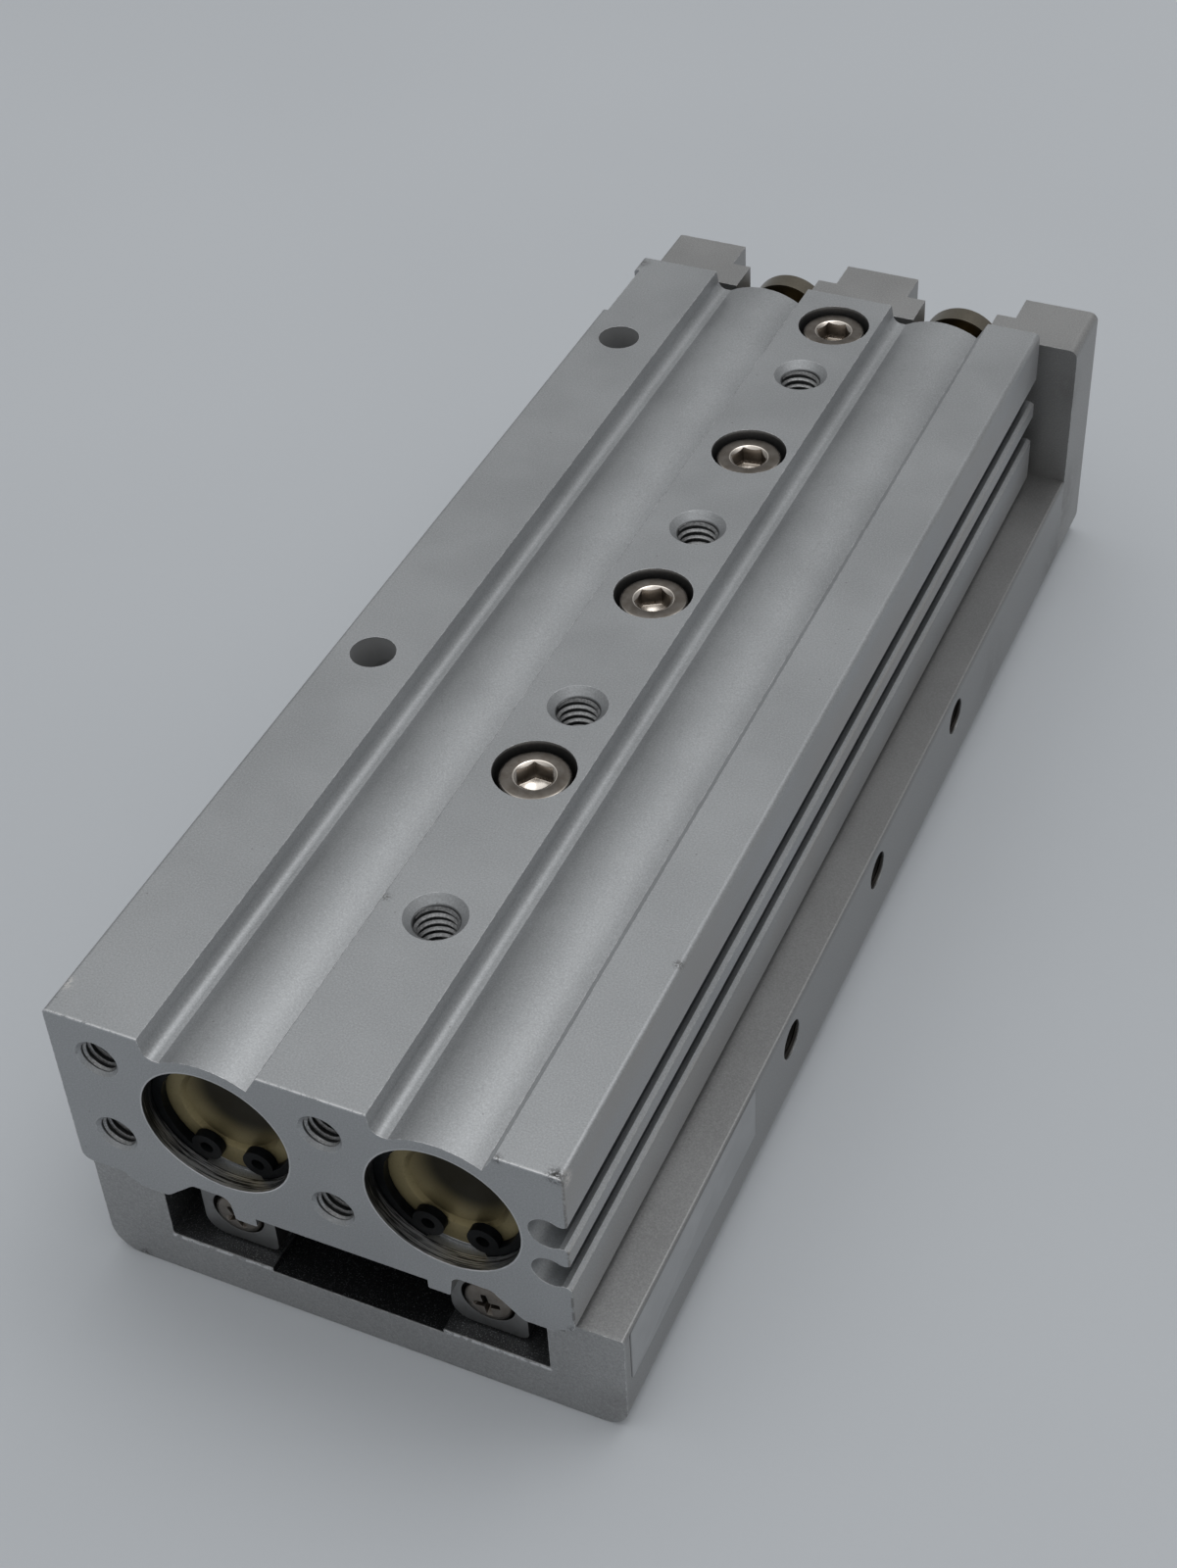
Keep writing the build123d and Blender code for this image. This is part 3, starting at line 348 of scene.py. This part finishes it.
# Brown stains, and as last mark a painted highlight on the top edge of the face towards the
# housing.
stains_and_highlight = (
    ((30.0, 74.0, 11.0), 9.0, 0.16, 0.5),
    ((30.8, 73.0, 30.0), 5.0, 0.20, 0.35),
    ((-10.0, PLATE_FACE_Y, 36.2), 2.0, 0.65, 0.4),
)
color, roughness, normal = skin(s, 0.37, 0.01, 0.35, stains_and_highlight)
top = s.z.ramp(38.0, 38.3) * s.y.ramp(72.85, 72.95)
color = s.mix(top * 0.55, color, grey(0.22, 0.02))
mill = s.noise(0.5, 2.0, 0.6, stretch=(50.0, 1.0, 1.0))
dress(s.close(color, roughness + mill * 0.04, 0.92, normal), "end_plate")


# The guide's rail, blocks and stop plates, the rods and the rollers: hardened steel, ground
# on every working face, the rods and rollers to a brighter finish. Fine grinding lines and
# patches of oil stay on them.
def ground_steel(name, tone, rough):
    """Steel with grinding lines along the stroke and thin patches of oil."""
    s = Surface(name)
    lines = s.noise(0.12, 2.0, 0.6, stretch=(1.0, 60.0, 1.0))
    cloud = s.noise(3.0, 3.0, 0.6)
    oil_and_shade = s.noise(1.4, 3.0, 0.65).ramp(0.55, 0.75)
    color = s.mix(cloud.ramp(0.35, 0.7), grey(tone * 0.9, 0.01), grey(tone * 1.08))
    color = s.mix(oil_and_shade * 0.35, color, grey(tone * 0.4, 0.08))
    roughness = lines.ramp(0.3, 0.7, rough, rough + 0.12)
    return s.close(color, roughness, 1.0, s.bump(lines, 0.006, 0.4, under=s.soft_edges(0.1)))


guide_steel = ground_steel("guide_steel", 0.42, 0.26)
dress(guide_steel, "guide_rail", "outer_guide_left", "outer_guide_right", "end_plate_dowels")
dress(guide_steel, "passage_plugs", "piston_nut_left", "piston_nut_right")
chrome = ground_steel("hard_chrome", 0.62, 0.12)
dress(chrome, "piston_rod_left", "piston_rod_right", "rollers_left", "rollers_right")
dress(ground_steel("stop_plate_steel", 0.26, 0.34), "roller_stops")


# The screws: steel, nickel plated, with dirt in their hollows and bright edges round their
# sockets, partly polish and partly a painted highlight. The preload set screws in the table's
# wall are blackened instead.
HEAD_TOP_Z = 39.2                             # of the cap screws in the middle land
SOCKET_RIM = 2.42                             # radius at which a head dips to its socket


def plated(name, tone, warmth, rough, edge_wear_and_sheen):
    """Clouded plating with bright edges and, on the cap screws' rims and sockets, polish; both
    partly a painted highlight.
    """
    s = Surface(name)
    cloud = s.noise(1.1, 3.0, 0.6)
    grain = s.noise(0.22, 2.0, 0.7)
    dirt = s.noise(0.5, 3.0, 0.7).ramp(0.6, 0.75)
    light, dark = grey(tone * 1.1, warmth * 0.7), grey(tone * 0.85, warmth)
    color = s.mix(cloud.ramp(0.3, 0.7), dark, light)
    color = s.mix(grain.ramp(0.55, 0.75) * 0.3, color, grey(tone * 1.5, warmth))
    color = s.mix(dirt * 0.5, color, grey(tone * 0.35, warmth + 0.08))
    # Bright edges: partly worn plating, partly a painted highlight.
    color = s.mix(s.edges(0.12) * edge_wear_and_sheen, color, grey(min(tone * 2.2, 0.9), warmth * 0.5))
    # Rims and socket of each cap screw: polished, with a painted highlight in their colour.
    axis = length(s.x, nearest(s.y, COUNTERBORE_Y))
    dip = axis.ramp(2.5, SOCKET_RIM) * s.z.near(HEAD_TOP_Z - 0.1, 0.9) * 0.35
    socket = axis.ramp(2.4, 2.3) * s.z.near(36.5, 0.9) * 0.8
    rim_highlights = axis.near(4.0, 0.2) + axis.near(2.44, 0.08)
    polish_and_highlight = (socket + rim_highlights + dip) * s.z.ramp(36.0, 36.2)
    color = s.mix(polish_and_highlight, color, grey(0.88, warmth * 0.6))
    roughness = cloud.ramp(0.3, 0.7, rough, rough + 0.1) + dirt * 0.15 - polish_and_highlight * 0.12
    normal = s.bump(cloud, 0.012, 0.5, under=s.soft_edges(0.08))
    return s.close(color, roughness, 1.0, normal)


nickel = plated("nickel_plate", 0.17, 0.15, 0.28, 0.5)
dress(nickel, "guide_screws", "end_plate_screws")
dress(plated("black_oxide", 0.05, 0.1, 0.4, 0.2), "preload_screws")


# Turned pieces in the bores: olive chromated caps that the retaining rings hold, bronze rod
# supports, bright pistons, and the nickel grey bushes that the rod ends carry in the plate's
# notches. Each keeps the fine rings of the lathe. A shadow is painted over the caps' upper
# half, and the bushes are painted as shaded faces inside a lit rim.
def scaled(color, factor):
    """The colour made darker by a factor."""
    return tuple(part * factor for part in color[:3]) + (1.0,)


def turned(name, tone, bright, rough, metallic, band=(5.3, 5.9), shade=0.0):
    """Turned metal, brighter outside the band, with a painted shadow over its upper half, as strong
    as shade.
    """
    s = Surface(name)
    cloud = s.noise(3.5, 3.0, 0.6)
    grain = s.noise(0.3, 2.0, 0.7)
    reach = s.bore_distance()
    color = s.mix(cloud.ramp(0.3, 0.7) * 0.4, tone, bright)
    color = s.mix(reach.ramp(*band) * 0.8, color, bright)
    color = s.mix(grain.ramp(0.5, 0.75) * 0.3, color, scaled(tone, 0.5))
    # A painted shadow from the bore's upper edge, darkest over the upper part of a cap.
    painted_shade = length(s.aside() - 1.6, s.z - 31.4).ramp(7.6, 3.8)
    color = s.mix(painted_shade * shade, color, scaled(tone, 0.04))
    lathe = (reach * 34.0).maths("SINE") * 0.5 + 0.5
    roughness = cloud.ramp(0.3, 0.7, rough, rough + 0.1)
    normal = s.bump(lathe, 0.005, 0.5, under=s.soft_edges(0.1))
    return s.close(color, roughness, metallic, normal, **{"Specular IOR Level": 0.15})


olive_dark, olive_light = (0.225, 0.185, 0.095, 1.0), (0.31, 0.26, 0.14, 1.0)
olive = turned("olive_cap", olive_dark, olive_light, 0.45, 0.6, shade=0.95)
dress(olive, "head_cap_left", "head_cap_right")
# Lit and shaded colours of one metal: the bush's face is painted in shade, its outer rim painted
# lit.
bush_shaded, bush_lit = (0.14, 0.105, 0.05, 1.0), (0.22, 0.2, 0.165, 1.0)
bush = turned("bush_nickel", bush_shaded, bush_lit, 0.28, 0.95, (5.2, 5.6))
dress(bush, "floating_bush_left", "floating_bush_right")
bronze_dark, bronze_light = (0.34, 0.25, 0.15, 1.0), (0.46, 0.36, 0.24, 1.0)
bronze = turned("bronze", bronze_dark, bronze_light, 0.35, 0.95)
dress(bronze, "rod_seal_support_left", "rod_seal_support_right")
dress(turned("piston_metal", grey(0.5), grey(0.62), 0.25, 1.0), "piston_left", "piston_right")


# Soft and moulded pieces: rubber seals and O-rings, urethane bumpers, ring magnets and
# plastic roller cages, pushed into their grooves. The black phosphated spring rings and
# clips in the bores are as matt.
def moulded(name, tone, rough, mottled, shine=0.5):
    """Slightly mottled soft material."""
    s = Surface(name)
    cloud = s.noise(1.2, 3.0, 0.6)
    color = s.mix(cloud.ramp(0.3, 0.7), tone, mottled)
    roughness = cloud.ramp(0.2, 0.8, rough, rough + 0.15)
    return s.close(color, roughness, 0.0, s.bump(cloud, 0.02, 0.3), **{"Specular IOR Level": shine})


spring = moulded("spring_black", grey(0.004, -0.1), 0.32, grey(0.008, -0.1), 0.06)
rubber = moulded("seal_rubber", grey(0.012), 0.42, grey(0.022))
urethane = moulded("urethane", (0.30, 0.17, 0.05, 1.0), 0.35, (0.38, 0.24, 0.09, 1.0))
magnet = moulded("magnet_compound", grey(0.05), 0.6, grey(0.08))
cage = moulded("cage_plastic", (0.62, 0.60, 0.52, 1.0), 0.45, (0.70, 0.68, 0.61, 1.0))
for side in ("left", "right"):
    dress(spring, f"retaining_ring_{side}", f"rod_clip_{side}")
    dress(rubber, f"cap_o_ring_{side}", f"piston_seal_{side}")
    dress(rubber, f"support_o_ring_{side}", f"rod_seal_{side}")
    dress(urethane, f"head_bumper_{side}", f"rod_bumper_{side}")
    dress(magnet, f"piston_magnet_{side}")
    dress(cage, f"roller_cage_{side}")


# Cap screws of the rail: nickel plated steel with a rounded rim, a bevelled hexagon socket
# and a drilled point at its bottom. They are screwed into the rail through the counterbores
# of the middle land.
SMOOTH_ANGLE = math.radians(35)


def piece(name, build, material, body, finish, *stands_for):
    """Turns mesh data into a piece on a body, smooth but for its sharp edges."""
    bmesh.ops.recalc_face_normals(build, faces=build.faces)
    for face in build.faces:
        face.smooth = True
    for edge in build.edges:
        edge.smooth = len(edge.link_faces) == 2 and edge.calc_face_angle() < SMOOTH_ANGLE
    mesh = bpy.data.meshes.new(name)
    build.to_mesh(mesh)
    build.free()
    mesh.materials.append(material)
    thing = bpy.data.objects.new(name, mesh)
    bpy.context.scene.collection.objects.link(thing)
    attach(thing, body)
    if stands_for:
        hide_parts(*stands_for)


def of_kind(geom, kind):
    """The vertices, edges or faces among what an operator gives back."""
    return [part for part in geom if isinstance(part, kind)]


def seat(origin, axis, turn=0.0):
    """Placement of a piece drawn in millimetres along Z."""
    way = Vector(axis).to_track_quat("Z", "Y").to_matrix().to_4x4()
    placed = Matrix.Translation(Vector(origin)) @ way @ Matrix.Rotation(math.radians(turn), 4, "Z")
    return Matrix.Scale(MM, 4) @ placed


def stack(build, origin, axis, turn, rings, sides=48):
    """Draws a turned piece out along its axis, ring after ring.

    Each ring is a radius and a height, and either may be a rule that takes the angle.
    """
    ring = bmesh.ops.create_circle(build, cap_ends=True, segments=sides, radius=1.0)["verts"]
    edges = ring[0].link_faces[0].edges[:]
    drawn = []
    for step, (radius, height) in enumerate(rings):
        if step:
            geom = bmesh.ops.extrude_edge_only(build, edges=edges)["geom"]
            ring, edges = of_kind(geom, bmesh.types.BMVert), of_kind(geom, bmesh.types.BMEdge)
        for vert in ring:
            angle = math.atan2(vert.co.y, vert.co.x) % (2 * math.pi)
            r = radius(angle) if callable(radius) else radius
            h = height(angle) if callable(height) else height
            vert.co = (r * math.cos(angle), r * math.sin(angle), h)
        drawn += ring
    bmesh.ops.contextual_create(build, geom=edges)
    bmesh.ops.transform(build, matrix=seat(origin, axis, turn), verts=drawn)


def hexagon(flats):
    """Radius of a hexagon at an angle, for its width over flats."""
    return lambda angle: flats / 2 / math.cos(angle % (math.pi / 3) - math.pi / 6)


UPWARDS = (0, 0, 1)
SEAT_Z = HEAD_TOP_Z - 5.0
HEAD_TURNS = (-4.0, 30.0, 8.0, 6.0)

build = bmesh.new()
socket = hexagon(4.0)
shank = ((2.1, -26.0), (2.49, -25.6), (2.49, 0.0))
head = (
    (3.9, 0.0), (4.1, 0.2), (4.1, 4.6), (4.04, 4.82), (3.88, 4.96), (3.7, 5.0),
    (SOCKET_RIM + 0.1, 5.0), (SOCKET_RIM, 4.97),
)
recess = (
    (socket, lambda angle: 4.97 - 0.75 * (SOCKET_RIM - socket(angle))),
    (socket, 2.5), (1.5, 2.35), (0.05, 1.7),
)
for y, turn in zip(COUNTERBORE_Y, HEAD_TURNS):
    stack(build, (0, y, SEAT_Z), UPWARDS, turn, shank + head + recess)
piece("rail_cap_screws", build, nickel, "cylinder", "plated_screw_steel", "rail_screws")


# Pan head screws of the stop plates: domed nickel heads with a tapered cross recess, each on
# its captive washer. They hold the plates to the ends of the table's guide blocks.
def cross(reach, half):
    """Radius of a cross at an angle, for the reach and half width of its arms."""
    def radius(angle):
        lean = (angle + math.pi / 4) % (math.pi / 2) - math.pi / 4
        across = abs(math.sin(lean))
        return min(reach / math.cos(lean), half / across if across > 1e-6 else reach)
    return radius


STOP_FACES = ((-78.2, -1), (32.9, 1))         # where the plates' outer faces are and look
STOP_SCREWS = ((-14.8, 32.0), (14.8, 10.0))   # place across the unit and turn of each head
STOP_SCREW_Z = 10.8

build = bmesh.new()
shank = ((1.3, -8.0), (1.34, -7.6), (1.34, 0.0))
washer = ((2.8, 0.0), (2.9, 0.1), (2.9, 0.38), (2.8, 0.46), (2.45, 0.5))
head = (
    (2.45, 0.62), (2.74, 0.68), (2.78, 0.8), (2.78, 1.25), (2.68, 1.55),
    (2.45, 1.75), (2.1, 1.88), (1.75, 1.94),
)
recess = ((cross(1.6, 0.38), 1.95), (cross(1.42, 0.31), 1.7), (cross(0.8, 0.2), 0.5), (0.1, 0.4))
for seat_y, way in STOP_FACES:
    for x, turn in STOP_SCREWS:
        place = (x, seat_y, STOP_SCREW_Z)
        stack(build, place, (0, way, 0), turn, shank + washer + head + recess, 64)
piece("stop_pan_screws", build, nickel, "table", "plated_screw_steel", "roller_stop_screws")


# Screw threads: the helical ridge that a tap leaves in each threaded hole of the aluminium
# pieces, with a thin bright crest and open roots. Those of the set screws' holes are painted
# dark as shade.
STEPS = 32                                    # of a ridge in one turn
FADE = 0.45                                   # share of a turn in which its ends run out


def ridges(build, places, axis, radius, pitch, depth, crest):
    """Spins the ridge of a right-hand thread inwards from the mouth of each hole."""
    total = int(depth / pitch * STEPS)
    root = radius + 0.04
    rows = ((root, 0.0), (radius - crest, 0.27), (radius - crest, 0.41), (root, 0.68))
    profile = [build.verts.new((r, 0.0, -pitch * down)) for r, down in rows]
    faces = bmesh.ops.contextual_create(build, geom=profile)["faces"]
    before = set(build.verts) - set(profile)
    bmesh.ops.spin(
        build, geom=faces, cent=(0, 0, 0), axis=(0, 0, -1), dvec=(0, 0, -pitch / STEPS),
        angle=2 * math.pi * total / STEPS, steps=total, use_duplicate=False,
    )
    drawn = [vert for vert in build.verts if vert not in before]
    for vert in drawn:
        across = math.hypot(vert.co.x, vert.co.y)
        if across < radius:
            turns = -vert.co.z / pitch
            run = min(turns - 0.25, depth / pitch + 0.43 - turns)
            vert.co.xy *= (radius - crest * min(1.0, max(0.05, run / FADE))) / across
    faces = [face for face in build.faces if face.verts[0] not in before]
    for place in places[1:]:
        copied = of_kind(bmesh.ops.duplicate(build, geom=faces)["geom"], bmesh.types.BMVert)
        bmesh.ops.transform(build, matrix=seat(place, axis), verts=copied)
    bmesh.ops.transform(build, matrix=seat(places[0], axis), verts=drawn)


s = Surface("thread_skin")
cut = s.noise(0.25, 3.0, 0.7)
tone = s.mix(cut.ramp(0.35, 0.7), grey(0.24), grey(0.46))
# The threads of the set screw holes in the table's wall are painted dark as shade.
tone = s.mix(s.x.ramp(26.5, 27.0), tone, grey(0.03, 0.1))
normal = s.bump(cut, 0.02, 0.4, under=s.soft_edges(0.05))
threads = s.close(tone, cut.ramp(0.2, 0.8, 0.28, 0.42), 0.95, normal)

build = bmesh.new()
lands = [(0, y, LAND_Z - 0.85) for y in TAPPED_Y]
ridges(build, lands, UPWARDS, radius=2.5, pitch=1.0, depth=10.5, crest=0.3)
fronts = [(x, FACE_Y + 0.3, z) for x in PORT_X for z in PORT_Z]
ridges(build, fronts, (0, -1, 0), radius=2.1, pitch=0.8, depth=10.0, crest=0.26)
left_port = [(-30.1, 61.0, 33.0)]
ridges(build, left_port, (-1, 0, 0), radius=2.1, pitch=0.8, depth=4.5, crest=0.26)
piece("housing_threads", build, threads, "cylinder", "housing_aluminium")

build = bmesh.new()
wall = [(TABLE_SIDE_X - 0.05, y, SET_SCREW_Z) for y in SET_SCREW_Y]
ridges(build, wall, (1, 0, 0), radius=2.4, pitch=0.8, depth=3.4, crest=0.2)
bottom = [(x, y, 0.05) for x in (-19.0, 19.0) for y in (-42.45, -4.45, 33.55)]
ridges(build, bottom, (0, 0, -1), radius=2.1, pitch=0.8, depth=4.4, crest=0.26)
plate_ends = [(x, 82.95, z) for x in (-18.0, 18.0) for z in (9.0, 18.0)]
ridges(build, plate_ends, (0, 1, 0), radius=2.1, pitch=0.8, depth=9.6, crest=0.26)
piece("table_threads", build, threads, "table", "table_aluminium")


# Rating label: a thin bare foil with rounded corners, stuck on the right wall of the table,
# with a fine dark line of painted shade along its edge.
low_y, high_y, low_z, high_z = -80.3, -45.9, 6.8, 14.8
middle_y, middle_z = (low_y + high_y) / 2, (low_z + high_z) / 2
wide, tall, thick = high_y - low_y, high_z - low_z, 0.06

s = Surface("label_foil")
weave = s.noise(0.3, 2.0, 0.6)
scuff = s.noise(5.0, 4.0, 0.65)
inset_y = (s.y - middle_y).maths("ABSOLUTE") - wide / 2
inset_z = (s.z - middle_z).maths("ABSOLUTE") - tall / 2
# A fine line of painted shade along the label's edge.
border_shade = inset_y.maths("MAXIMUM", inset_z).ramp(-0.3, -0.12)
tone = s.mix(scuff.ramp(0.35, 0.7), grey(0.40, -0.01), grey(0.46, -0.01))
tone = s.mix(border_shade * 0.65, tone, grey(0.14, 0.02))
label = s.close(tone, scuff.ramp(0.3, 0.7, 0.34, 0.44), 0.7, s.bump(weave, 0.01, 0.3))

build = bmesh.new()
blank = Matrix.Scale(MM, 4) @ Matrix.Translation((31.02, middle_y, middle_z))
blank @= Matrix.Diagonal((thick, wide, tall, 1.0))
bmesh.ops.create_cube(build, size=1.0, matrix=blank)
across = [edge for edge in build.edges if edge.calc_length() < 2 * thick * MM]
bmesh.ops.bevel(
    build, geom=across, offset=0.7 * MM, offset_type="OFFSET", segments=6, profile=0.5,
    affect="EDGES", material=-1,
)
front = [max(build.faces, key=lambda face: face.calc_center_median().x)]
edge_step = {"thickness": 0.06 * MM, "depth": 0.02 * MM, "use_even_offset": True}
bmesh.ops.inset_region(build, faces=front, **edge_step)
piece("rating_label", build, label, "table", "table_aluminium")


# Camera, solved from the corners of the block in the photograph. Its lens comes from the
# focal length in pixels of a frame 1600 pixels high.
FRAME_HEIGHT, FOCAL_PIXELS, SENSOR = 1600.0, 2527.06, 36.0
eye = Vector((94.41, -209.55, 221.53)) * MM
right = Vector((0.9117, 0.4085, -0.0439))
down = Vector((0.2475, -0.6314, -0.7349))
ahead = Vector((-0.3279, 0.6591, -0.6768))

data = bpy.data.cameras.new("camera")
data.sensor_fit = "VERTICAL"
data.sensor_height = SENSOR
data.lens = SENSOR * FOCAL_PIXELS / FRAME_HEIGHT
data.clip_start = 0.01
camera = bpy.data.objects.new("camera", data)
camera.matrix_world = Matrix((
    (right.x, -down.x, -ahead.x, eye.x),
    (right.y, -down.y, -ahead.y, eye.y),
    (right.z, -down.z, -ahead.z, eye.z),
    (0, 0, 0, 1),
))
bpy.context.scene.collection.objects.link(camera)
bpy.context.scene.camera = camera


# Light: a sky that is dim near the horizon and bright overhead, as in a room lit from its
# ceiling, and one broad soft lamp high on the right that brightens the domes' right flanks.
world = bpy.data.worlds.new("sky")
world.use_nodes = True
bpy.context.scene.world = world
sky = Graph(world.node_tree)
height = sky.split(sky.node("ShaderNodeTexCoord", output="Generated"))[2]
glow = {"Color": (0.965, 0.985, 1.0, 1.0), "Strength": height.ramp(0.6, 1.0, 0.35, 1.2)}
sky.node("ShaderNodeOutputWorld", {"Surface": sky.node("ShaderNodeBackground", glow)}, None)

data = bpy.data.lights.new("ceiling", "AREA")
data.shape = "RECTANGLE"
data.size, data.size_y = 0.5, 0.5
data.energy = 1.1
lamp = bpy.data.objects.new("ceiling", data)
lamp.location = (0.2, 0.2, 0.98)
aim = Vector((0, 0, 0.02)) - lamp.location
lamp.rotation_euler = aim.to_track_quat("-Z", "Y").to_euler()
bpy.context.scene.collection.objects.link(lamp)


# Floor: a pale matt sheet of paper, much larger than the view. It lies a tenth of a
# millimetre under the table, so that the two faces don't mix.
s = Surface("paper")
fibre = s.noise(0.8, 3.0, 0.6)
cloud = s.noise(160.0, 2.0, 0.5)
tone = s.mix(cloud.ramp(0.2, 0.8), (0.535, 0.555, 0.58, 1.0), (0.565, 0.585, 0.61, 1.0))
s.close(tone, fibre.ramp(0.2, 0.8, 0.75, 0.85), 0.0, s.bump(fibre, 0.05, 0.2))

build = bmesh.new()
under = Matrix.Translation((0.0, 0.0, -0.1 * MM))
bmesh.ops.create_grid(build, x_segments=8, y_segments=8, size=2.0, matrix=under)
mesh = bpy.data.meshes.new("floor")
build.to_mesh(mesh)
build.free()
mesh.materials.append(s.material)
sheet = bpy.data.objects.new("floor", mesh)
bpy.context.scene.collection.objects.link(sheet)

bpy.context.scene.view_settings.view_transform = "Standard"
